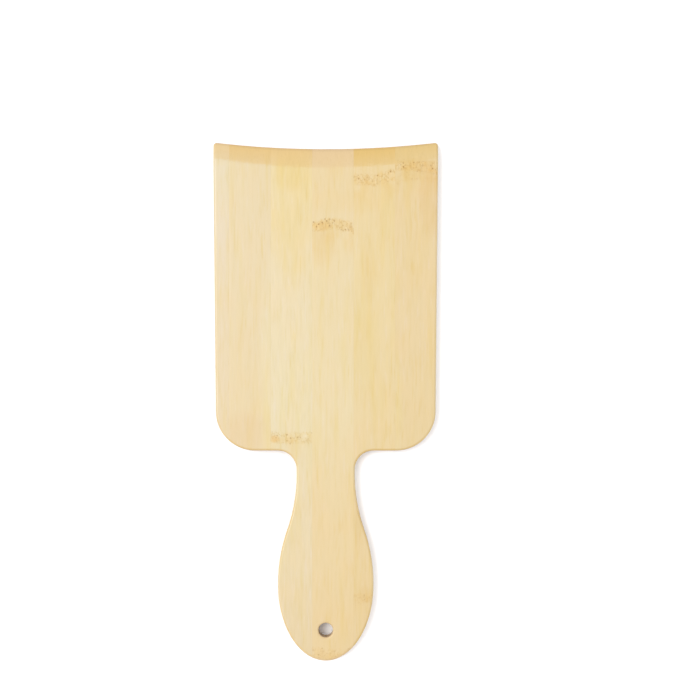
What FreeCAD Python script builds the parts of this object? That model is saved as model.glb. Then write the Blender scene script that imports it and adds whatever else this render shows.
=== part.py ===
import FreeCAD, Part
import math
import os
import Sketcher

# A flat hand-held board of laminated bamboo for colouring hair: a broad blade with a bevelled,
# slightly hollow front edge, rounded rear corners, and a waisted handle that swells to an oval
# palm end with a hanging hole. Three crossed plies of glued bamboo slats make up its thickness.
#
# Frame, in millimetres: the board lies on its back face at Z = 0 with its show face up (+Z).
# +Y runs along the grain towards the blade's bevelled edge. The origin is at the middle of the
# footprint, so the tip of the handle is at Y = -length/2 and the blade's corners at +length/2.

SIZES = {
    "board_length": 250.1,  # from the tip of the handle to the blade's corners, before rounding
    "blade_top_width": 108.6,
    "blade_base_width": 105.7,
    "top_dip": 3.2,  # how far the bevelled edge is hollowed at its middle
    "top_corner_radius": 1.5,
    "rear_corner_radius": 19.0,
    "shoulder_height": 101.3,  # from the tip of the handle to the blade
    "neck_width": 28.1,
    "neck_fillet_radius": 9.0,
    "neck_height": 89.6,  # from the tip to where the handle starts to swell
    "palm_width": 46.2,
    "palm_height": 36.7,  # from the tip to the widest point of the palm end
    "hole_diameter": 7.0,
    "hole_height": 14.8,  # from the tip to the centre of the hanging hole
    "hole_rim": 0.5,
    "bevel_mid_width": 9.1,
    "bevel_end_width": 7.5,
    "bevel_drop": 2.0,  # the slope and its eased edge stay within the front ply
    "crease_radius": 12.0,  # the sanded corner between the front face and the bevel
    "cutter_reach": 2.0,  # how far the bevel's cutter runs past the blade's sides
    "cutter_excess": 0.3,  # how far its slope runs on, as a share of the bevel
    "edge_radius": 1.1,
    "front_ply": 3.0,
    "core_ply": 2.0,
    "back_ply": 3.0,
    "slat_width": 20.0,
    "front_first_joint": -46.5,  # X of the front ply's first glue line
    "back_first_joint": -50.4,  # X of the back ply's first glue line
    "core_first_joint": -115.0,  # Y of the core ply's first glue line
    "blank_margin": 5.0,  # sawn blanks stand this far outside the finished outline
}
FRONT_SLATS = 6
BACK_SLATS = 7
CORE_SLATS = 13

PANEL = SIZES["front_ply"] + SIZES["core_ply"] + SIZES["back_ply"]
TOUCH = 1e-3  # places nearer than this are the same place

THICKNESS = "(Sizes.front_ply + Sizes.core_ply + Sizes.back_ply)"
HALF_LENGTH = "Sizes.board_length / 2"

doc = FreeCAD.newDocument("colouring_board")


def make_sheet():
    sheet = doc.addObject("Spreadsheet::Sheet", "Sizes")
    for row, (alias, value) in enumerate(SIZES.items(), start=1):
        sheet.set(f"A{row}", alias)
        sheet.set(f"B{row}", str(value))
        sheet.setAlias(f"B{row}", alias)
    doc.recompute()


def new_sketch(body, name, plane, offset="0"):
    """A sketch on one of the body's own origin planes, moved along its normal by an expression."""
    sketch = body.newObject("Sketcher::SketchObject", name)
    origin = next(f for f in body.Origin.OriginFeatures if f.Role == plane)
    sketch.AttachmentSupport = (origin, "")
    sketch.MapMode = "FlatFace"
    sketch.setExpression("AttachmentOffset.Base.z", offset)
    return sketch


def bind(sketch, name, kind, places, value, expression):
    """Add a dimension to the sketch, between or on the places named, and drive it from the sheet."""
    index = sketch.addConstraint(Sketcher.Constraint(kind, *places, value))
    sketch.renameConstraint(index, name)
    sketch.setExpression(f"Constraints.{name}", expression)


def point(x, y):
    return FreeCAD.Vector(x, y, 0)


def draw_half_outline(sketch, size):
    """The right half of the board's plan, closed along its centre line, with sharp blade corners."""
    half_length = size["board_length"] / 2
    half_top = size["blade_top_width"] / 2
    half_base = size["blade_base_width"] / 2
    half_neck = size["neck_width"] / 2
    half_palm = size["palm_width"] / 2
    top_y = half_length - size["top_dip"]
    shoulder_y = size["shoulder_height"] - half_length
    neck_y = size["neck_height"] - half_length
    palm_y = size["palm_height"] - half_length

    hollow_radius = (half_top**2 + size["top_dip"] ** 2) / (2 * size["top_dip"])
    hollow_turn = math.asin(half_top / hollow_radius)
    swell = half_palm - half_neck
    run = neck_y - palm_y
    swell_radius = (swell**2 + run**2) / (4 * swell)
    swell_turn = math.asin(run / 2 / swell_radius)

    up = FreeCAD.Vector(0, 0, 1)
    hollow = Part.Circle(point(0, top_y + hollow_radius), up, hollow_radius)
    flare = Part.Circle(point(half_neck + swell_radius, neck_y), up, swell_radius)
    bulge = Part.Circle(point(half_palm - swell_radius, palm_y), up, swell_radius)
    palm = Part.Ellipse(point(0, -half_length), point(half_palm, palm_y), point(0, palm_y))
    shapes = [
        Part.ArcOfCircle(hollow, 1.5 * math.pi, 1.5 * math.pi + hollow_turn),
        Part.LineSegment(point(half_top, half_length), point(half_base, shoulder_y)),
        Part.LineSegment(point(half_base, shoulder_y), point(half_neck, shoulder_y)),
        Part.LineSegment(point(half_neck, shoulder_y), point(half_neck, neck_y)),
        Part.ArcOfCircle(flare, math.pi, math.pi + swell_turn),
        Part.ArcOfCircle(bulge, 0, swell_turn),
        Part.ArcOfEllipse(palm, 0, math.pi / 2),
        Part.LineSegment(point(0, -half_length), point(0, top_y)),
    ]
    sketch.addGeometry(shapes, False)
    sketch.exposeInternalGeometry(6)


def constrain_half_outline(sketch, size):
    edge, side, shoulder, neck, flare, bulge, palm, middle, major, minor = range(10)
    start, end, centre = 1, 2, 3
    origin, y_axis = (-1, 1), -2
    rules = [
        ("PointOnObject", middle, start, y_axis),
        ("PointOnObject", middle, end, y_axis),
        ("Coincident", middle, end, edge, start),
        ("PointOnObject", edge, centre, y_axis),
        ("Coincident", edge, end, side, start),
        ("Coincident", side, end, shoulder, start),
        ("Horizontal", shoulder),
        ("Coincident", shoulder, end, neck, start),
        ("Vertical", neck),
        ("Tangent", neck, end, flare, start),
        ("Tangent", flare, end, bulge, end),
        ("Equal", flare, bulge),
        ("Horizontal", bulge, centre, bulge, start),
        ("Coincident", bulge, start, palm, end),
        ("Coincident", palm, start, middle, start),
        ("PointOnObject", palm, centre, y_axis),
        ("PointOnObject", palm, start, major),
        ("PointOnObject", palm, end, minor),
    ]
    for rule in rules:
        sketch.addConstraint(Sketcher.Constraint(*rule))

    half_length = size["board_length"] / 2
    tip = (middle, start)
    across = [
        ("half_top", edge, end, "blade_top_width"),
        ("half_base", side, end, "blade_base_width"),
        ("half_neck", neck, end, "neck_width"),
        ("half_palm", bulge, start, "palm_width"),
    ]
    for name, item, spot, alias in across:
        places = (*origin, item, spot)
        bind(sketch, name, "DistanceX", places, size[alias] / 2, f"Sizes.{alias} / 2")
    along = [
        ("shoulder_height", side, end),
        ("neck_height", neck, end),
        ("palm_height", bulge, start),
    ]
    for alias, item, spot in along:
        bind(sketch, alias, "DistanceY", (*tip, item, spot), size[alias], f"Sizes.{alias}")
    middle_y = half_length - size["top_dip"]
    middle_rule = f"{HALF_LENGTH} - Sizes.top_dip"
    bind(sketch, "tip", "DistanceY", (*tip, *origin), half_length, HALF_LENGTH)
    bind(sketch, "corner", "DistanceY", (*origin, edge, end), half_length, HALF_LENGTH)
    bind(sketch, "hollow", "DistanceY", (*origin, edge, start), middle_y, middle_rule)


def feature(body, kind, name, **settings):
    item = body.newObject(kind, name)
    for key, value in settings.items():
        setattr(item, key, value)
    return item


def dress_edges(body, kind, name, size_name, alias, wanted):
    """Fillet or chamfer every edge of the body's shape that wanted(shape, edge) picks."""
    shape = body.Shape
    chosen = [f"Edge{n}" for n, edge in enumerate(shape.Edges, start=1) if wanted(shape, edge)]
    if not chosen:
        raise RuntimeError(f"{name}: no edge found")
    item = feature(body, kind, name, Base=(body.Tip, chosen))
    item.setExpression(size_name, f"Sizes.{alias}")
    body.Tip = item
    doc.recompute()


def upright_corners(half_width, y):
    """A picker for the pair of upright edges at a half width and a Y of the plan."""

    def wanted(shape, edge):
        low, high = edge.Vertexes[0].Point, edge.Vertexes[-1].Point
        upright = abs(low.x - high.x) + abs(low.y - high.y) < TOUCH
        return upright and abs(abs(low.x) - half_width) < TOUCH and abs(low.y - y) < TOUCH

    return wanted


def is_crease(shape, edge):
    """Whether an edge is the long one where the bevel leaves the front face."""
    crease_y = SIZES["board_length"] / 2 - SIZES["top_dip"] - SIZES["bevel_mid_width"]
    box = edge.BoundBox
    on_face = abs(box.ZMin - PANEL) + abs(box.ZMax - PANEL) < TOUCH
    return on_face and box.YMin > crease_y - TOUCH and box.XLength > SIZES["blade_top_width"] / 2


def is_wall(face):
    """Whether a face stands upright, as the board's edge and the hole's bore do."""
    low_u, high_u, low_v, high_v = face.ParameterRange
    normal = face.normalAt((low_u + high_u) / 2, (low_v + high_v) / 2)
    return abs(normal.z) < TOUCH


def is_rim(shape, edge):
    """Whether an edge is a sharp one between an upright wall and another face."""
    walls = [is_wall(face) for face in shape.ancestorsOfType(edge, Part.Face)]
    return any(walls) and not all(walls)


def is_hole_rim(shape, edge):
    centre_y = SIZES["hole_height"] - SIZES["board_length"] / 2
    box = edge.BoundBox
    centred = abs(box.Center.y - centre_y) + abs(box.Center.x) < TOUCH
    return is_rim(shape, edge) and centred and box.XLength < 2 * SIZES["hole_diameter"]


def is_outer_rim(shape, edge):
    return is_rim(shape, edge) and not is_hole_rim(shape, edge)


def add_plan(body):
    """The board's full plan, sawn square-edged from the panel."""
    outline = new_sketch(body, "HalfOutline", "XY_Plane")
    draw_half_outline(outline, SIZES)
    constrain_half_outline(outline, SIZES)
    if not outline.FullyConstrained:
        raise RuntimeError("the outline isn't fully constrained")
    half = feature(body, "PartDesign::Pad", "HalfBoard", Profile=outline)
    half.setExpression("Length", THICKNESS)
    mirror_plane = next(f for f in body.Origin.OriginFeatures if f.Role == "YZ_Plane")
    whole = feature(body, "PartDesign::Mirrored", "WholeBoard", Originals=[half],
                    MirrorPlane=(mirror_plane, [""]))
    body.Tip = whole
    doc.recompute()


def add_hole(body):
    """The hanging hole, bored straight through the palm end."""
    sketch = new_sketch(body, "HoleCentre", "XY_Plane")
    radius = SIZES["hole_diameter"] / 2
    centre = point(0, SIZES["hole_height"] - SIZES["board_length"] / 2)
    sketch.addGeometry(Part.Circle(centre, FreeCAD.Vector(0, 0, 1), radius), False)
    sketch.addConstraint(Sketcher.Constraint("PointOnObject", 0, 3, -2))
    bind(sketch, "bore", "Radius", (0,), radius, "Sizes.hole_diameter / 2")
    from_origin = f"{HALF_LENGTH} - Sizes.hole_height"
    bind(sketch, "height", "DistanceY", (0, 3, -1, 1), -centre.y, from_origin)
    before = body.Shape.Volume
    feature(body, "PartDesign::Pocket", "HangingHole", Profile=sketch, Type="ThroughAll",
            Reversed=True)
    doc.recompute()
    if body.Shape.Volume >= before:
        raise RuntimeError("the hanging hole cut nothing")


def bevel_section(body, name, side):
    """A triangle across the blade whose long side is the bevel's slope: side is -1, 0 or 1.

    The edge and the crease behind it are both parabolas about the centre line, so a section
    that stands past the blade's side carries on along the same curves.
    """
    reach = "(Sizes.blade_top_width / 2 + Sizes.cutter_reach)"
    share = f"{abs(side)} * ({reach} / (Sizes.blade_top_width / 2)) ^ 2"
    edge = f"({HALF_LENGTH} - Sizes.top_dip * (1 - {share}))"
    narrowing = f"(Sizes.bevel_mid_width - Sizes.bevel_end_width) * {share}"
    width = f"(Sizes.bevel_mid_width - {narrowing})"
    inner = f"{edge} - {width} * (1 + Sizes.cutter_excess)"
    outer = f"{edge} + {width} * Sizes.cutter_excess"
    low = f"{THICKNESS} - Sizes.bevel_drop * (1 + Sizes.cutter_excess)"
    high = f"{THICKNESS} + Sizes.bevel_drop * Sizes.cutter_excess"

    sketch = new_sketch(body, name, "YZ_Plane", offset=f"{side} * {reach}")
    edge_y = SIZES["board_length"] / 2
    crease_y = edge_y - SIZES["bevel_mid_width"]
    bottom = PANEL - SIZES["bevel_drop"]
    corners = [point(crease_y, PANEL), point(edge_y, bottom), point(edge_y, PANEL)]
    for first, second in zip(corners, corners[1:] + corners[:1]):
        sketch.addGeometry(Part.LineSegment(first, second), False)
    for line in range(3):
        sketch.addConstraint(Sketcher.Constraint("Coincident", line, 2, (line + 1) % 3, 1))
    sketch.addConstraint(Sketcher.Constraint("Vertical", 1))
    sketch.addConstraint(Sketcher.Constraint("Horizontal", 2))
    origin = (-1, 1)
    bind(sketch, "inner", "DistanceX", (*origin, 0, 1), crease_y, inner)
    bind(sketch, "outer", "DistanceX", (*origin, 1, 1), edge_y, outer)
    bind(sketch, "low", "DistanceY", (*origin, 1, 1), bottom, low)
    bind(sketch, "high", "DistanceY", (*origin, 2, 1), PANEL, high)
    return sketch


def add_bevel(body):
    """The sloping band along the blade's edge, widest at its middle."""
    names = {-1: "BevelLeft", 0: "BevelMiddle", 1: "BevelRight"}
    left, middle, right = (bevel_section(body, name, side) for side, name in names.items())
    before = body.Shape.Volume
    feature(body, "PartDesign::SubtractiveLoft", "Bevel", Profile=left, Sections=[middle, right])
    doc.recompute()
    if body.Shape.Volume >= before:
        raise RuntimeError("the bevel cut nothing")


def make_finished_form():
    """The board as one finished shape, which every slat is then cut from."""
    body = doc.addObject("PartDesign::Body", "FinishedForm")
    half_top = SIZES["blade_top_width"] / 2
    half_base = SIZES["blade_base_width"] / 2
    half_neck = SIZES["neck_width"] / 2
    top_y = SIZES["board_length"] / 2
    shoulder_y = SIZES["shoulder_height"] - top_y
    fillet, chamfer = "PartDesign::Fillet", "PartDesign::Chamfer"

    add_plan(body)
    corners = [
        ("TopCorners", "top_corner_radius", half_top, top_y),
        ("RearCorners", "rear_corner_radius", half_base, shoulder_y),
        ("NeckFillets", "neck_fillet_radius", half_neck, shoulder_y),
    ]
    for name, alias, half_width, y in corners:
        dress_edges(body, fillet, name, "Radius", alias, upright_corners(half_width, y))
    add_hole(body)
    add_bevel(body)
    dress_edges(body, fillet, "SoftCrease", "Radius", "crease_radius", is_crease)
    dress_edges(body, fillet, "EasedEdges", "Radius", "edge_radius", is_outer_rim)
    dress_edges(body, chamfer, "EasedHole", "Size", "hole_rim", is_hole_rim)
    return body


def slat_blank(name, ply, base, along, start, end):
    """A sawn bamboo slat before shaping. along is the axis it runs along, X or Y; start and
    end are expressions for its glue lines on the other axis, and None means the panel's edge."""
    blank = doc.addObject("Part::Box", f"{name}_blank")
    reach = {
        "X": "(Sizes.blade_top_width / 2 + Sizes.blank_margin)",
        "Y": f"({HALF_LENGTH} + Sizes.blank_margin)",
    }
    across = "X" if along == "Y" else "Y"
    low = start or f"-{reach[across]}"
    high = end or reach[across]
    length_of = {"X": "Length", "Y": "Width"}
    blank.setExpression(f"Placement.Base.{along.lower()}", f"-{reach[along]}")
    blank.setExpression(length_of[along], f"2 * {reach[along]}")
    blank.setExpression(f"Placement.Base.{across.lower()}", low)
    blank.setExpression(length_of[across], f"{high} - ({low})")
    blank.setExpression("Placement.Base.z", base)
    blank.setExpression("Height", f"Sizes.{ply}")
    return blank


def make_ply(ply, base, along, count, first_joint, label):
    """Glue up one ply from count slats side by side, each cut to the finished form."""
    joints = [f"Sizes.{first_joint} + {step} * Sizes.slat_width" for step in range(count - 1)]
    starts = [None] + joints
    ends = joints + [None]
    slats = []
    for number, (start, end) in enumerate(zip(starts, ends), start=1):
        name = label.format(number)
        slat = doc.addObject("Part::MultiCommon", name)
        slat.Shapes = [slat_blank(name, ply, base, along, start, end), form]
        slat.Label = name
        slat.Placement = FreeCAD.Placement()
        slats.append(slat)
    return slats


def check_document(slats):
    """Stop if anything failed to build, a slat isn't one sound solid, or the slats don't
    make up the whole board."""
    for item in doc.Objects:
        if {"Invalid", "Error"} & set(item.State):
            raise RuntimeError(f"{item.Name} failed: {item.State}")
    for slat in slats:
        shape = slat.Shape
        if shape.isNull() or not shape.isValid() or len(shape.Solids) != 1:
            raise RuntimeError(f"{slat.Label} isn't one valid solid")
    whole = form.Shape.Volume
    total = sum(slat.Shape.Volume for slat in slats)
    if abs(total - whole) > 1e-4 * whole:
        raise RuntimeError(f"the slats hold {total:.1f} mm3 of the board's {whole:.1f}")


make_sheet()
form = make_finished_form()
core_base = "Sizes.back_ply"
front_base = "Sizes.back_ply + Sizes.core_ply"
slats = make_ply("back_ply", "0", "Y", BACK_SLATS, "back_first_joint", "back_slat_{}")
slats += make_ply("core_ply", core_base, "X", CORE_SLATS, "core_first_joint", "core_slat_{:02}")
slats += make_ply("front_ply", front_base, "Y", FRONT_SLATS, "front_first_joint", "front_slat_{}")
doc.recompute()
check_document(slats)

os.makedirs("parts", exist_ok=True)
for slat in slats:
    slat.Shape.exportStep(f"parts/{slat.Label}.step")
print(len(slats), "slats,", round(form.Shape.Volume / 1000, 1), "cm3 of bamboo")
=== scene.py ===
"""Looks for a bamboo hair-colouring board: laminated slats with growth knuckles, sanded and lacquered."""

import math

import bmesh
import bpy
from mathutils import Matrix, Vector, noise


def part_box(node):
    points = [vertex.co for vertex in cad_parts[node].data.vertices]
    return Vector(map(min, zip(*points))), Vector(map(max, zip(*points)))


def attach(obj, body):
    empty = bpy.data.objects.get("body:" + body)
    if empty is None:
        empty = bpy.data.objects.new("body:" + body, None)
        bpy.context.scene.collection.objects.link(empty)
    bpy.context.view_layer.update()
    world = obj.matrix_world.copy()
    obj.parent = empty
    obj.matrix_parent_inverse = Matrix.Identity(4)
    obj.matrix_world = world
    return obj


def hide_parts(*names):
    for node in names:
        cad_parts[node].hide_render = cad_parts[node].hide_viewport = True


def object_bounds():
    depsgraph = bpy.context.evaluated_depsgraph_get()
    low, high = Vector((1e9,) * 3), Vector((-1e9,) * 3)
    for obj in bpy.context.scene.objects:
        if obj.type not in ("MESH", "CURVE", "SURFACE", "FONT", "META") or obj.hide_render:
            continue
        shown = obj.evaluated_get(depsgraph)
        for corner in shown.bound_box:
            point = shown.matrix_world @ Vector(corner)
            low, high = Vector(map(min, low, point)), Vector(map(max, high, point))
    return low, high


MM = 0.001
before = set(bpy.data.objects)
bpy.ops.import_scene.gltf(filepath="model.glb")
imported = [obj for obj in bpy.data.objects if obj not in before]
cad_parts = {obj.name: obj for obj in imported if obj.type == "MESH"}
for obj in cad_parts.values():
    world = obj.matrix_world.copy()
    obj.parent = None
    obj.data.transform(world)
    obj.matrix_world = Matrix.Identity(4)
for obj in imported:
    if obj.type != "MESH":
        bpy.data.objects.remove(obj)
board_low, board_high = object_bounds()
centre = (board_low + board_high) / 2
top_z = board_high.z
tip_y = board_low.y
BEVEL_DROP = 2.0  # how far the blade's bevel falls below the front face, in millimetres

# --- What the wood is like ---------------------------------------------------------------------

# How bright the studio light makes a white surface. Colours below are as seen in that light.
LIGHT = 1.44

# Each slat's colour as 8-bit sRGB, evenly spaced from its lower end to its upper end. The front
# slats run from the board's left to its right.
FRONT_TONES = [
    [(237, 215, 174), (236, 215, 175), (234, 217, 180)],
    [(238, 215, 168), (236, 215, 172), (235, 214, 170)],
    [(237, 214, 169), (239, 219, 177), (239, 222, 180), (239, 220, 178), (239, 221, 179)],
    [(239, 212, 160), (240, 215, 164), (240, 220, 174), (239, 218, 171), (238, 213, 162)],
    [(238, 211, 159), (238, 212, 160), (239, 215, 163), (239, 216, 163), (239, 213, 159)],
    [(237, 212, 160), (238, 213, 163), (237, 211, 158)],
]
BACK_TONES = [
    [(239, 216, 170), (241, 219, 176), (240, 218, 172)],
    [(241, 221, 180), (240, 218, 171), (241, 222, 182)],
    [(238, 213, 163), (239, 216, 168), (237, 212, 160)],
    [(241, 219, 173), (242, 223, 184), (240, 217, 169)],
    [(240, 222, 184), (240, 219, 175), (241, 222, 183)],
    [(237, 213, 166), (238, 215, 168), (236, 210, 158)],
    [(240, 218, 176), (240, 220, 180), (239, 216, 170)],
]
CORE_TONE = (231, 197, 139)
CORE_TONE_SPREAD = 3  # how far the core slats' tones differ from it, either way
CORE_TONE_TURN = 2.3  # radians from one core slat's tone to the next one's

# The colour where a slat is cut across its grain, as on the blade's bevel.
FRONT_ENDS = [(238, 206, 149), (235, 198, 128), (236, 200, 133), (235, 203, 152),
              (232, 193, 111), (232, 199, 129)]
BACK_END = (231, 197, 134)

# Growth knuckles across a slat. Each has its heights above the handle's tip, in millimetres, at the
# slat's left side, middle and right side, and its strength.
FRONT_KNUCKLES = {
    3: [(107.2, 107.6, 107.0, 0.9)],
    4: [(208.6, 210.6, 208.8, 1.1), (4.0, 3.0, 4.0, 0.6)],
    5: [(232.0, 232.4, 234.2, 1.0), (29.8, 29.6, 29.0, 0.5)],
    6: [(238.8, 238.4, 237.6, 1.05), (231.0, 234.4, 233.4, 0.25)],
}
BACK_KNUCKLES = {
    2: [(171.0, 172.4, 171.6, 0.9)],
    3: [(46.4, 46.0, 45.0, 0.8), (243.0, 243.6, 242.2, 0.7)],
    4: [(133.6, 134.9, 134.4, 1.0)],
    6: [(121.4, 120.6, 121.0, 1.0)],
}

# Soft patches where a front slat is tinted: the middle of the patch, in millimetres to the right of
# the board's centre line and above the handle's tip, its half width and half height, and its tint.
FRONT_PATCHES = {
    1: [(-50.5, 196.0, 5.0, 22.0, (1.0, 1.015, 1.11)), (-50.5, 241.0, 6.0, 3.0, (1.0, 0.985, 0.945))],
    2: [(-39.0, 110.0, 12.0, 12.0, (0.985, 0.95, 0.93)), (-26.5, 143.0, 6.5, 58.0, (1.018, 1.05, 1.07))],
    3: [(-16.6, 222.0, 14.0, 46.0, (1.0, 0.96, 0.80)), (-17.0, 236.0, 11.0, 12.0, (0.985, 0.95, 0.80)),
        (-9.0, 228.0, 4.5, 9.0, (1.0, 0.985, 0.91)), (-24.5, 107.0, 3.0, 2.2, (0.99, 0.86, 0.66))],
    4: [(-2.0, 200.5, 9.0, 12.0, (0.992, 0.95, 0.87)), (-2.0, 209.3, 4.5, 3.0, (0.985, 0.92, 0.76)),
        (3.0, 221.5, 13.0, 7.0, (1.0, 0.985, 0.94))],
    5: [(20.5, 190.0, 5.0, 20.0, (0.985, 0.965, 0.90)), (17.5, 150.0, 9.5, 30.0, (0.985, 0.985, 0.92)),
        (15.5, 66.0, 2.5, 11.0, (0.97, 0.955, 0.88)), (19.0, 32.0, 4.0, 5.0, (0.98, 0.95, 0.86)),
        (18.5, 221.5, 8.0, 7.0, (1.0, 0.985, 0.94))],
    6: [(51.0, 222.0, 7.0, 22.0, (0.985, 0.94, 0.88)), (45.0, 240.0, 9.0, 3.0, (0.985, 0.94, 0.82)),
        (34.0, 122.0, 3.5, 34.0, (1.012, 1.035, 1.06))],
}

# How streaky each front slat's grain is. The other slats' is 1.
FRONT_GRAIN = [0.9, 0.85, 1.35, 0.8, 0.95, 1.0]

BACK_SEEDS = 20
CORE_SEEDS = 40
SEED_SHIFT = 7.31  # how far apart the textures of two slats whose seeds differ by 1 are
EDGE_WITHIN = 0.5 * MM  # a slat's side as near as this to the board's edge is that edge


def linear(tone):
    """8-bit sRGB as seen in the studio light, as the surface's own linear colour."""
    parts = [c / 255 for c in tone]
    parts = [c / 12.92 if c <= 0.04045 else ((c + 0.055) / 1.055) ** 2.4 for c in parts]
    return [c / LIGHT for c in parts]


class Knuckle:
    """A growth knuckle's line across a slat, bent through a height at each side and the middle."""

    def __init__(self, slat, left, middle, right, strength):
        low, high = slat.low[slat.across] / MM, slat.high[slat.across] / MM
        self.centre = (low + high) / 2
        self.half = (high - low) / 2
        self.height = tip_y / MM + middle
        self.lean = (right - left) / 2
        self.bow = (left + right) / 2 - middle
        self.strength = strength

    def line(self, across):
        """The knuckle's place along the slat, for a number or a signal that says where across."""
        part = (across - self.centre) / self.half
        return part * part * self.bow + part * self.lean + self.height


class Slat:
    """What one bamboo slat is: its grain, colour, knuckles, tinted patches and glue lines."""

    def __init__(self, name, tones, end, along, seed, knuckles=(), patches=(), grain=1.0):
        self.name = name
        self.tones = [linear(tone) for tone in tones]
        self.end = linear(end)
        self.along = along  # the row axis that the grain follows: 0 is X, 1 is Y
        self.across = 1 - along
        self.patches = patches
        self.grain = grain
        self.seed = seed
        self.low, self.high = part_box(name)
        self.knuckles = [Knuckle(self, *facts) for facts in knuckles]
        self.glue = self.find_glue()

    def find_glue(self):
        """The slat's glued sides: (axis, place) for each side that isn't the board's own edge."""
        planes = []
        for axis in (self.across, 2):
            for side, edge in ((self.low, board_low), (self.high, board_high)):
                if abs(side[axis] - edge[axis]) > EDGE_WITHIN:
                    planes.append((axis, side[axis]))
        return planes


def make_slats():
    """Every slat of the board. Each has a seed of its own, so that no two have the same grain."""
    slats = []
    fronts = zip(FRONT_TONES, FRONT_ENDS, FRONT_GRAIN)
    for number, (tones, end, grain) in enumerate(fronts, start=1):
        knuckles, patches = FRONT_KNUCKLES.get(number, ()), FRONT_PATCHES.get(number, ())
        slats.append(Slat(f"front_slat_{number}", tones, end, 1, number, knuckles, patches, grain))
    for number, tones in enumerate(BACK_TONES, start=1):
        knuckles = BACK_KNUCKLES.get(number, ())
        slats.append(Slat(f"back_slat_{number}", tones, BACK_END, 1, BACK_SEEDS + number, knuckles))
    cores = sorted(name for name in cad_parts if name.startswith("core_slat"))
    for number, name in enumerate(cores, start=1):
        shift = CORE_TONE_SPREAD * math.sin(CORE_TONE_TURN * number)
        tone = [c + shift for c in CORE_TONE]
        slats.append(Slat(name, [tone], BACK_END, 0, CORE_SEEDS + number))
    return slats


# --- Node writing ------------------------------------------------------------------------------


class Signal:
    """A number that varies over a surface. Arithmetic on signals writes Math nodes."""

    def __init__(self, tree, socket):
        self.tree = tree
        self.socket = socket

    def math(self, operation, *others):
        node = self.tree.nodes.new("ShaderNodeMath")
        node.operation = operation
        for socket, value in zip(node.inputs, (self, *others)):
            connect(self.tree, socket, value)
        return Signal(self.tree, node.outputs[0])

    def __add__(self, other):
        return self.math("ADD", other)

    def __sub__(self, other):
        return self.math("SUBTRACT", other)

    def __mul__(self, other):
        return self.math("MULTIPLY", other)

    def __truediv__(self, other):
        return self.math("DIVIDE", other)

    __radd__, __rmul__ = __add__, __mul__

    def __rsub__(self, other):
        return (self * -1.0) + other

    def abs(self):
        return self.math("ABSOLUTE")

    def max(self, other):
        return self.math("MAXIMUM", other)

    def step(self, low, high):
        """0 below low and 1 above high, with a smooth rise between, or the reverse if low > high."""
        node = self.tree.nodes.new("ShaderNodeMapRange")
        node.interpolation_type = "SMOOTHSTEP"
        connect(self.tree, node.inputs["Value"], self)
        node.inputs["From Min"].default_value = low
        node.inputs["From Max"].default_value = high
        return Signal(self.tree, node.outputs["Result"])


def connect(tree, socket, value):
    """Link a signal or another socket to a socket, or set the socket to a plain value."""
    if isinstance(value, Signal):
        tree.links.new(value.socket, socket)
    elif isinstance(value, bpy.types.NodeSocket):
        tree.links.new(value, socket)
    else:
        socket.default_value = value


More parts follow.
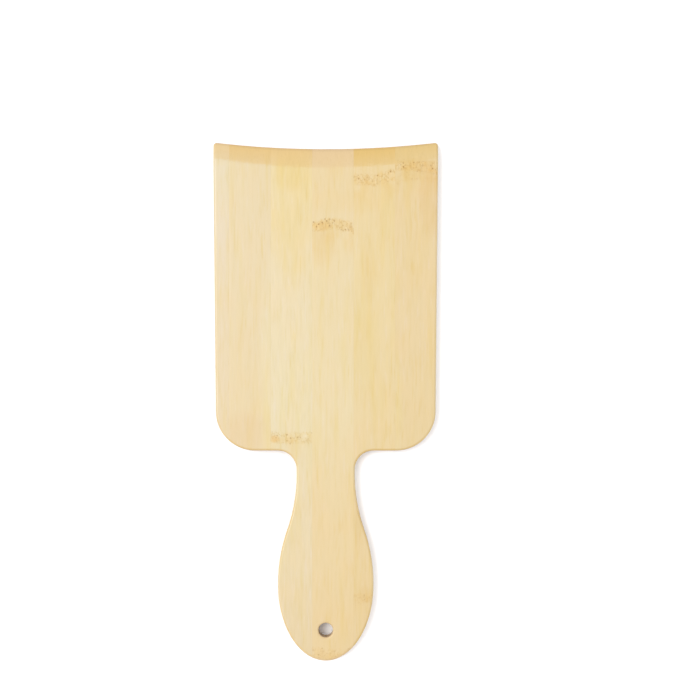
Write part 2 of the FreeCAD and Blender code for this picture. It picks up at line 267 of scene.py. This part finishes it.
class Painter:
    """Writes one material's nodes, with places in millimetres along and across the grain."""

    def __init__(self, material, slat):
        material.use_nodes = True
        self.tree = material.node_tree
        self.shader = self.tree.nodes["Principled BSDF"]
        self.slat = slat
        spot = self.tree.nodes.new("ShaderNodeTexCoord")
        places = self.split(spot.outputs["Object"])
        normals = self.split(spot.outputs["Normal"])
        self.along = places[slat.along] / MM
        self.across = places[slat.across] / MM
        self.depth = places[2] / MM
        self.end_facing = normals[slat.along].abs()  # 1 where cut square across the grain

    def split(self, vector):
        """A vector's three parts, as signals."""
        node = self.tree.nodes.new("ShaderNodeSeparateXYZ")
        self.tree.links.new(vector, node.inputs[0])
        return [Signal(self.tree, socket) for socket in node.outputs]

    def place(self, across, along, depth, shift=0.0):
        """A point for a texture, in units of the feature size given on each axis."""
        node = self.tree.nodes.new("ShaderNodeCombineXYZ")
        sizes = (across, along, depth)
        for socket, signal, size in zip(node.inputs, (self.across, self.along, self.depth), sizes):
            connect(self.tree, socket, signal / size + (shift + SEED_SHIFT * self.slat.seed))
        return node.outputs[0]

    def noise(self, place, detail=2.0):
        """Smooth noise from about 0 to 1, with 0.5 in the middle."""
        node = self.tree.nodes.new("ShaderNodeTexNoise")
        node.inputs["Scale"].default_value = 1.0
        node.inputs["Detail"].default_value = detail
        self.tree.links.new(place, node.inputs["Vector"])
        return Signal(self.tree, node.outputs[0])

    def cells(self, place):
        """How far off the nearest of many scattered points is, and that point's random number."""
        node = self.tree.nodes.new("ShaderNodeTexVoronoi")
        node.inputs["Scale"].default_value = 1.0
        self.tree.links.new(place, node.inputs["Vector"])
        lot = self.split(node.outputs["Color"])[0]
        return Signal(self.tree, node.outputs["Distance"]), lot

    def mix(self, factor, first, second, blend="MIX"):
        """The first colour where the factor is 0, and where it is 1 the second or its blend."""
        node = self.tree.nodes.new("ShaderNodeMix")
        node.data_type = "RGBA"
        node.blend_type = blend
        connect(self.tree, node.inputs[0], factor)
        for socket, colour in ((node.inputs[6], first), (node.inputs[7], second)):
            if isinstance(colour, bpy.types.NodeSocket):
                self.tree.links.new(colour, socket)
            else:
                socket.default_value = (*colour, 1.0)
        return node.outputs[2]

    def plain(self, colour):
        """A colour that is the same everywhere, to be varied by what follows."""
        node = self.tree.nodes.new("ShaderNodeRGB")
        node.outputs[0].default_value = (*colour, 1.0)
        return node.outputs[0]

    def grade(self):
        """The slat's own colour, easing from one of its tones to the next along its grain."""
        slat = self.slat
        reach = slat.high[slat.along] - slat.low[slat.along]
        part = (self.along * MM - slat.low[slat.along]) / reach
        node = self.tree.nodes.new("ShaderNodeValToRGB")
        node.color_ramp.interpolation = "EASE"
        connect(self.tree, node.inputs[0], part)
        stops = node.color_ramp.elements
        while len(stops) > 1:
            stops.remove(stops[-1])
        for index, tone in enumerate(slat.tones):
            stop = stops[0] if index == 0 else stops.new(index / (len(slat.tones) - 1))
            stop.color = (*tone, 1.0)
        return node.outputs[0]

    def patch(self, across, height, half_width, half_height):
        """1 in the middle of a soft oval place and 0 outside it. Its outline is uneven."""
        side = (self.across - (centre.x / MM + across)) / half_width
        rise = (self.along - (tip_y / MM + height)) / half_height
        rough = self.noise(self.place(3.0, 9.0, 20.0, across)) - 0.5
        return (side * side + rise * rise + rough * 0.9).step(1.1, 0.1)

    def tint(self, colour, factor, by):
        """Multiply a colour by another, as much as factor says."""
        return self.mix(factor, colour, by, "MULTIPLY")

    def scale(self, colour, signal):
        """Make a colour lighter or darker by a signal."""
        node = self.tree.nodes.new("ShaderNodeVectorMath")
        node.operation = "SCALE"
        self.tree.links.new(colour, node.inputs[0])
        connect(self.tree, node.inputs["Scale"], signal)
        return node.outputs[0]

    def bump(self, height, distance, strength):
        """Normals tilted as by a relief, where distance is how high a height of 1 stands."""
        node = self.tree.nodes.new("ShaderNodeBump")
        node.inputs["Strength"].default_value = strength
        node.inputs["Distance"].default_value = distance
        connect(self.tree, node.inputs["Height"], height)
        return node.outputs[0]


# --- Bamboo ------------------------------------------------------------------------------------

# The sizes of the grain's features, in millimetres across the grain, along it and in depth.
STREAKS = (1.4, 12.0, 1.6)
FIBRES = (0.4, 6.0, 0.4)
DRIFT = (4.5, 45.0, 20.0)
BLUSH = (7.0, 16.0, 20.0)
CROWDS = (7.0, 70.0, 20.0)
BUNDLES = (1.0, 13.0, 1.2)
GLEAMS = (1.1, 11.0, 1.2)
PORES = (0.6, 60.0, 0.6)

# The sizes of a knuckle's features, likewise.
KNUCKLE_WAVES = (6.0, 400.0, 400.0)
KNUCKLE_JAGS = (1.1, 400.0, 400.0)
CLUMPS = (4.2, 6.0, 6.0)
MOTTLES = (1.2, 1.8, 3.0)
DARK_SPECKS = (1.3, 1.45, 3.0)
PALE_SPECKS = (1.3, 2.0, 3.0)
CURVED_LINES = (2.6, 3.2, 5.0)
TRAILS = (0.8, 16.0, 3.0)
STAINS = (6.0, 12.0, 30.0)

# Where a feature is gone and where it is full, in millimetres. A knuckle's band and glow are
# measured to both sides of its line, its trails and stain upwards from it, and a glue line's
# hairline to both sides of the joint.
BAND = (3.3, 1.8)
GLOW = (3.6, 1.2)
TRAIL_TOP, TRAIL_FOOT = (1.0, -1.0), (-10.0, -3.0)
STAIN_TOP, STAIN_FOOT = (1.5, -2.0), (-16.0, -4.0)
HAIRLINE = (0.13, 0.03)

WAVE_SWING = 3.0  # how far the waves move a knuckle's line, in millimetres, from end to end
JAG_SWING = 4.0  # and how far the jags move its band's edges

# How much the grain's features lighten and darken the wood, from end to end.
STREAK_SHADE = 0.075
FIBRE_SHADE = 0.055
BLUSH_SHADE = 0.03

# What the wood's colour is multiplied by in each feature.
DRIFT_TINT = (0.991, 0.972, 0.84)
BLUSH_TINT = (1.0, 0.985, 0.97)
STREAK_TINT = (1.0, 0.98, 0.88)
GLEAM_TINT = (1.009, 1.021, 1.11)
BUNDLE_TINT = (0.978, 0.95, 0.83)
STAIN_TINT = (0.99, 0.94, 0.8)
MOTTLE_TINT = (0.985, 0.89, 0.67)
PALE_SPECK_TINT = (1.05, 1.06, 1.08)
CURVED_LINE_TINT = (0.84, 0.76, 0.6)
DARK_SPECK_TINT = (0.64, 0.54, 0.39)
# painted shade: a grey darkening on the bevel's rim, standing in for the eased edge's shade
RIM_PAINTED_SHADE_TINT = (0.92, 0.91, 0.92)
CUT_END_TINT = (0.80, 0.70, 0.60)
PORE_TINT = (0.8, 0.72, 0.58)
GLUE_TINT = (0.6, 0.48, 0.34)

GLUE_STRENGTH = 0.1
GRAIN_RELIEF = 0.05 * MM
GRAIN_RELIEF_STRENGTH = 0.6
ROUGHNESS = 0.40
SPECULAR = 0.4
LACQUER = 0.3
LACQUER_ROUGHNESS = 0.25


def knuckle_marks(paint, knuckle, shift):
    """One growth knuckle: clumps of mottling and specks across the slat, and a stain below them.

    Returns signals for the mottling, its dark and pale specks, its curved lines, and the stain.
    The number after each size only keeps that feature's texture apart from the others.
    """
    wave = paint.noise(paint.place(*KNUCKLE_WAVES, shift)) - 0.5
    jag = paint.noise(paint.place(*KNUCKLE_JAGS, shift + 3), detail=3.0) - 0.5
    offset = paint.along - knuckle.line(paint.across) + wave * WAVE_SWING
    band = (offset + jag * JAG_SWING).abs().step(*BAND)
    clump = paint.noise(paint.place(*CLUMPS, shift + 9)).step(0.4, 0.58)
    glow = (offset + jag).abs().step(*GLOW) * clump
    mottle = paint.noise(paint.place(*MOTTLES, shift + 7)).step(0.38, 0.62) * band
    mottle = (mottle * (0.35 + clump * 0.4)).max(glow * 0.6)
    distance, lot = paint.cells(paint.place(*DARK_SPECKS, shift))
    dark = distance.step(0.42, 0.15) * lot.step(0.3, 0.6) * band * (0.25 + clump * 0.75)
    distance, lot = paint.cells(paint.place(*PALE_SPECKS, shift + 11))
    pale = distance.step(0.5, 0.2) * lot.step(0.5, 0.6) * band
    curve = (paint.noise(paint.place(*CURVED_LINES, shift + 13)) - 0.5).abs().step(0.05, 0.01)
    trail = paint.noise(paint.place(*TRAILS, shift + 15)).step(0.64, 0.72)
    trail = trail * offset.step(*TRAIL_TOP) * offset.step(*TRAIL_FOOT)
    lines = (curve * band * 0.6).max(trail * 0.45)
    patch = paint.noise(paint.place(*STAINS, shift + 5)).step(0.38, 0.6)
    stain = offset.step(*STAIN_TOP) * offset.step(*STAIN_FOOT) * (patch * 0.7 + 0.15)
    return [part * knuckle.strength for part in (mottle, dark, pale, lines, stain)]


def bamboo(slat):
    """Lacquered bamboo: pale fibres, short brown streaks, knuckles, and dotted end grain.

    The number after each size only keeps that feature's texture apart from the others.
    """
    material = bpy.data.materials.new(f"{slat.name}_bamboo")
    paint = Painter(material, slat)

    streaks = paint.noise(paint.place(*STREAKS), detail=2.5)
    fibres = paint.noise(paint.place(*FIBRES, 5))
    drift = paint.noise(paint.place(*DRIFT, 9))
    blush = paint.noise(paint.place(*BLUSH, 15), detail=1.0)
    crowd = paint.noise(paint.place(*CROWDS, 19), detail=1.0)
    bundles = paint.noise(paint.place(*BUNDLES, 13), detail=1.5).step(0.56, 0.7)
    bundles = bundles * crowd.step(0.38, 0.62)
    gleams = paint.noise(paint.place(*GLEAMS, 17), detail=1.5).step(0.56, 0.7)
    gleams = gleams * crowd.step(0.62, 0.42)

    shade = (streaks - 0.5) * STREAK_SHADE + (fibres - 0.5) * FIBRE_SHADE + (blush - 0.5) * BLUSH_SHADE
    shade = 1.0 + shade * slat.grain
    colour = paint.scale(paint.grade(), shade)
    colour = paint.tint(colour, drift.step(0.45, 0.75), DRIFT_TINT)
    colour = paint.tint(colour, blush.step(0.4, 0.7), BLUSH_TINT)
    colour = paint.tint(colour, streaks.step(0.5, 0.2), STREAK_TINT)
    colour = paint.tint(colour, gleams * min(slat.grain, 1.0), GLEAM_TINT)
    colour = paint.tint(colour, bundles * min(slat.grain, 1.0), BUNDLE_TINT)
    relief = fibres * 0.5 + streaks * 0.3 - bundles * 0.35

    for *place, tint in slat.patches:
        colour = paint.tint(colour, paint.patch(*place), tint)
    for index, each in enumerate(slat.knuckles):
        mottle, dark, pale, lines, stain = knuckle_marks(paint, each, 20.0 + 17 * index)
        colour = paint.tint(colour, stain, STAIN_TINT)
        colour = paint.tint(colour, mottle, MOTTLE_TINT)
        colour = paint.tint(colour, pale, PALE_SPECK_TINT)
        colour = paint.tint(colour, lines, CURVED_LINE_TINT)
        colour = paint.tint(colour, dark, DARK_SPECK_TINT)
        relief = relief + pale * 0.5 - dark * 0.8

    pores, lot = paint.cells(paint.place(*PORES, 31))
    dots = pores.step(0.42, 0.2) * lot.step(0.3, 0.5)

    # The bevel shows cut ends, more so the further it falls, and a thin grey line of
    # painted shade at its rim, where the eased edge turns away. Faces cut square across the grain are
    # darker still.
    ends = paint.end_facing.step(0.03, 0.19)
    fall = (top_z / MM - paint.depth) / BEVEL_DROP
    cut = paint.scale(paint.plain(slat.end), shade)
    colour = paint.mix(ends * (0.45 + 0.55 * fall.step(-0.4, 1.2)), colour, cut)
    # painted shade on the bevel's rim
    colour = paint.tint(colour, ends * fall.step(0.80, 0.92), RIM_PAINTED_SHADE_TINT)
    colour = paint.tint(colour, paint.end_facing.step(0.42, 0.95), CUT_END_TINT)
    colour = paint.tint(colour, ends * dots * 0.15, PORE_TINT)
    colour = paint.tint(colour, glue_lines(paint, slat) * GLUE_STRENGTH, GLUE_TINT)
    paint.tree.links.new(colour, paint.shader.inputs["Base Color"])

    gloss = ROUGHNESS + (fibres - 0.5) * 0.12 + (streaks - 0.5) * 0.10 + ends * 0.12
    connect(paint.tree, paint.shader.inputs["Roughness"], gloss)
    normal = paint.bump(relief, GRAIN_RELIEF, GRAIN_RELIEF_STRENGTH)
    paint.tree.links.new(normal, paint.shader.inputs["Normal"])
    paint.shader.inputs["Specular IOR Level"].default_value = SPECULAR
    paint.shader.inputs["Coat Weight"].default_value = LACQUER
    paint.shader.inputs["Coat Roughness"].default_value = LACQUER_ROUGHNESS
    return material


def glue_lines(paint, slat):
    """1 on the hairlines where this slat is glued to its neighbours."""
    line = None
    for axis, place in slat.glue:
        position = paint.depth if axis == 2 else paint.across
        near = (position - place / MM).abs().step(*HAIRLINE)
        line = near if line is None else line.max(near)
    return line


# --- Fine shape --------------------------------------------------------------------------------

GRID_ALONG = 2.0 * MM
GRID_ACROSS = 1.0 * MM
JOINT_CUTS = (0.08 * MM, 0.25 * MM, 0.5 * MM)
KNUCKLE_GRID = 0.8 * MM
KNUCKLE_REACH = 5 * MM  # how far the knuckle's finer grid goes to each side of its line
SAME_PLACE = 1e-7  # points closer than this, in metres, are one point
ON_JOINT = 0.002 * MM  # a face as near as this to a joint's plane may be glued there
FACING_JOINT = 0.99  # and is, if its normal is as nearly square to that plane as this
FLAT_WITHIN = 0.05  # degrees
SHARP_FROM = 35  # degrees
LEAST_FACING = 0.2  # how nearly a skin must face up or down to be sanded

# The sanded surface's relief and its widths, in millimetres.
WAVE_HEIGHT = 0.02
FIBRE_HEIGHT = 0.012
KNUCKLE_HEIGHT = 0.03
KNUCKLE_WIDTH = 2.0
GRIT_HEIGHT = 0.05
GROOVE_DEPTH = 0.015
GROOVE_WIDTH = 0.15


def places_between(low, high, pitch):
    """Even places inside a stretch, about a pitch apart."""
    count = max(1, round((high - low) / pitch))
    return [low + (high - low) * i / count for i in range(1, count)]


def cut_into_grid(work, slat):
    """Slice a slat's long flat faces finely enough to carry relief."""
    low, high = slat.low[slat.across], slat.high[slat.across]
    across = places_between(low, high, GRID_ACROSS)
    for axis, place in slat.glue:
        if axis == slat.across:
            inward = 1 if place < (low + high) / 2 else -1
            across += [place + inward * cut for cut in JOINT_CUTS]
    along = places_between(slat.low[slat.along], slat.high[slat.along], GRID_ALONG)
    for knuckle in slat.knuckles:
        middle = knuckle.height * MM
        along += places_between(middle - KNUCKLE_REACH, middle + KNUCKLE_REACH, KNUCKLE_GRID)
    for axis, places in ((slat.across, across), (slat.along, along)):
        square = Vector((0, 0, 0))
        square[axis] = 1
        for place in sorted(places):
            point = square * place
            everything = work.verts[:] + work.edges[:] + work.faces[:]
            bmesh.ops.bisect_plane(work, geom=everything, dist=SAME_PLACE, plane_co=point,
                                   plane_no=square)


def glued(face, slat):
    """Whether a face lies on one of the slat's joints."""
    middle = face.calc_center_median()
    return any(
        abs(middle[axis] - place) < ON_JOINT and abs(face.normal[axis]) > FACING_JOINT
        for axis, place in slat.glue
    )


def relief_at(point, slat):
    """How far the sanded surface stands off the flat at a point, in metres."""
    x, y = point[slat.across] / MM, point[slat.along] / MM
    height = WAVE_HEIGHT * noise.noise(Vector((point.x / MM / 16, point.y / MM / 55, 3.0)))
    height += FIBRE_HEIGHT * noise.noise(Vector((x / 2.2, y / 38, slat.seed)))
    for knuckle in slat.knuckles:
        rise = math.exp(-(((y - knuckle.line(x)) / KNUCKLE_WIDTH) ** 2))
        grit = noise.noise(Vector((x / 1.6, y / 1.8, 9.0)))
        height += knuckle.strength * rise * (KNUCKLE_HEIGHT + GRIT_HEIGHT * grit)
    for axis, place in slat.glue:
        if axis == slat.across:
            height -= GROOVE_DEPTH * math.exp(-(((point[axis] - place) / MM / GROOVE_WIDTH) ** 2))
    return height * MM


def sand(work, slat):
    """Move the skin's points up or down by the relief, less where it slopes, within the board."""
    work.normal_update()
    moves = []
    for vert in work.verts:
        faces = [face for face in vert.link_faces if not glued(face, slat)]
        if not faces:
            continue
        facing = max((face.normal.z for face in faces), key=abs)
        if abs(facing) > LEAST_FACING:
            moves.append((vert, facing * abs(facing) * relief_at(vert.co, slat)))
    for vert, move in moves:
        vert.co.z = min(max(vert.co.z + move, board_low.z), top_z)


def refine(slat):
    """A finely cut copy of a CAD slat, with sanding relief, that stands for it."""
    work = bmesh.new()
    work.from_mesh(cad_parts[slat.name].data)
    bmesh.ops.remove_doubles(work, verts=work.verts[:], dist=SAME_PLACE)
    bmesh.ops.dissolve_limit(work, angle_limit=math.radians(FLAT_WITHIN), verts=work.verts[:],
                             edges=work.edges[:])
    cut_into_grid(work, slat)
    sand(work, slat)
    mesh = bpy.data.meshes.new(f"{slat.name}_wood")
    work.to_mesh(mesh)
    work.free()
    mesh.polygons.foreach_set("use_smooth", [True] * len(mesh.polygons))
    mesh.set_sharp_from_angle(angle=math.radians(SHARP_FROM))
    mesh.materials.append(bamboo(slat))
    piece = bpy.data.objects.new(f"{slat.name}_wood", mesh)
    bpy.context.scene.collection.objects.link(piece)
    weighted = piece.modifiers.new("FlatFacesFlat", "WEIGHTED_NORMAL")
    weighted.keep_sharp = True
    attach(piece, "root")
    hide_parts(slat.name)
    slat.name.split("_")[0] + "_bamboo"
    return piece


# --- Studio ------------------------------------------------------------------------------------

CAMERA_OVER = Vector((11.72, 24.85)) * MM  # where the camera looks straight down, from the centre
CAMERA_DISTANCE = 0.8
SEEN_WIDTH = 0.3372  # how much of the front face's plane fills the picture, in metres
SENSOR = 36.0
KEY_PLACE = Vector((-1.55, 0.5, 3.5))  # above the board, to its left and a little beyond its blade
KEY_SIZE = 1.6
KEY_POWER = 94.0
FLOOR_KEY_SPREAD = 24.0  # degrees
FLOOR_KEY_POWER = 1.3
FLOOR_LIGHT_PLACE = Vector((0.0, 0.0, 1.6))
FLOOR_LIGHT_SPREAD = 100.0  # degrees
FLOOR_LIGHT_POWER = 1.85
FLOOR_HALF = 20.0
FLOOR_COLOUR = (0.80, 0.80, 0.82, 1.0)
FLOOR_ROUGHNESS = 0.9
FLOOR_SPECULAR = 0.1
FLOOR_GAP = 0.05 * MM  # how far the floor is below the board
HORIZON_LIGHT = 1.05
OVERHEAD_LIGHT = 0.82
HORIZON_TO = 12  # the horizon's light goes up to this many degrees above it
OVERHEAD_FROM = 30  # and the overhead light starts at this many


def make_camera():
    """A camera that looks straight down at the front face."""
    data = bpy.data.cameras.new("Camera")
    data.sensor_width = SENSOR
    data.lens = SENSOR * CAMERA_DISTANCE / SEEN_WIDTH
    camera = bpy.data.objects.new("Camera", data)
    camera.location = (centre.x + CAMERA_OVER.x, centre.y + CAMERA_OVER.y, top_z + CAMERA_DISTANCE)
    bpy.context.scene.collection.objects.link(camera)
    bpy.context.scene.camera = camera


def make_floor():
    """A plain pale floor under the board."""
    mesh = bpy.data.meshes.new("floor")
    corners = [(x * FLOOR_HALF, y * FLOOR_HALF, 0) for x, y in ((-1, -1), (1, -1), (1, 1), (-1, 1))]
    mesh.from_pydata(corners, [], [(0, 1, 2, 3)])
    material = bpy.data.materials.new("pale_floor")
    material.use_nodes = True
    shader = material.node_tree.nodes["Principled BSDF"]
    shader.inputs["Base Color"].default_value = FLOOR_COLOUR
    shader.inputs["Roughness"].default_value = FLOOR_ROUGHNESS
    shader.inputs["Specular IOR Level"].default_value = FLOOR_SPECULAR
    mesh.materials.append(material)
    floor = bpy.data.objects.new("floor", mesh)
    floor.location.z = board_low.z - FLOOR_GAP
    bpy.context.scene.collection.objects.link(floor)
    return floor


def add_lamp(name, data, place, lit):
    """Put a lamp at a place, aimed at the board, so that it lights only the objects in lit."""
    lamp = bpy.data.objects.new(name, data)
    lamp.location = place
    lamp.rotation_mode = "QUATERNION"
    lamp.rotation_quaternion = (centre - lamp.location).to_track_quat("-Z", "Y")
    reached = bpy.data.collections.new(f"{name}Reaches")
    for each in lit:
        reached.objects.link(each)
    lamp.light_linking.receiver_collection = reached
    bpy.context.scene.collection.objects.link(lamp)


def make_soft_box(name, place, size, power, lit):
    """A large square lamp, whose shadows are soft."""
    data = bpy.data.lights.new(name, "AREA")
    data.shape = "SQUARE"
    data.size = size
    data.energy = power
    add_lamp(name, data, place, lit)


def make_wide_light(name, place, spread, power, lit):
    """Even light over the whole floor from a patch of sky, spread degrees wide."""
    data = bpy.data.lights.new(name, "SUN")
    data.angle = math.radians(spread)
    data.energy = power
    add_lamp(name, data, place, lit)


def make_world():
    """White surroundings, a little brighter near the horizon than overhead."""
    world = bpy.data.worlds.new("Studio")
    world.use_nodes = True
    nodes, links = world.node_tree.nodes, world.node_tree.links
    direction = nodes.new("ShaderNodeTexCoord")
    parts = nodes.new("ShaderNodeSeparateXYZ")
    strength = nodes.new("ShaderNodeMapRange")
    strength.inputs["From Min"].default_value = math.sin(math.radians(HORIZON_TO))
    strength.inputs["From Max"].default_value = math.sin(math.radians(OVERHEAD_FROM))
    strength.inputs["To Min"].default_value = HORIZON_LIGHT
    strength.inputs["To Max"].default_value = OVERHEAD_LIGHT
    links.new(direction.outputs["Generated"], parts.inputs[0])
    links.new(parts.outputs["Z"], strength.inputs["Value"])
    background = nodes["Background"]
    background.inputs["Color"].default_value = (1.0, 1.0, 1.0, 1.0)
    links.new(strength.outputs["Result"], background.inputs["Strength"])
    bpy.context.scene.world = world


make_camera()
pieces = [refine(slat) for slat in make_slats()]
floor = make_floor()
make_soft_box("Key", KEY_PLACE, KEY_SIZE, KEY_POWER, pieces)
make_wide_light("FloorKey", KEY_PLACE, FLOOR_KEY_SPREAD, FLOOR_KEY_POWER, [floor])
make_wide_light("FloorLight", FLOOR_LIGHT_PLACE, FLOOR_LIGHT_SPREAD, FLOOR_LIGHT_POWER, [floor])
make_world()
bpy.context.scene.view_settings.view_transform = "Standard"
bpy.context.scene.view_settings.look = "None"
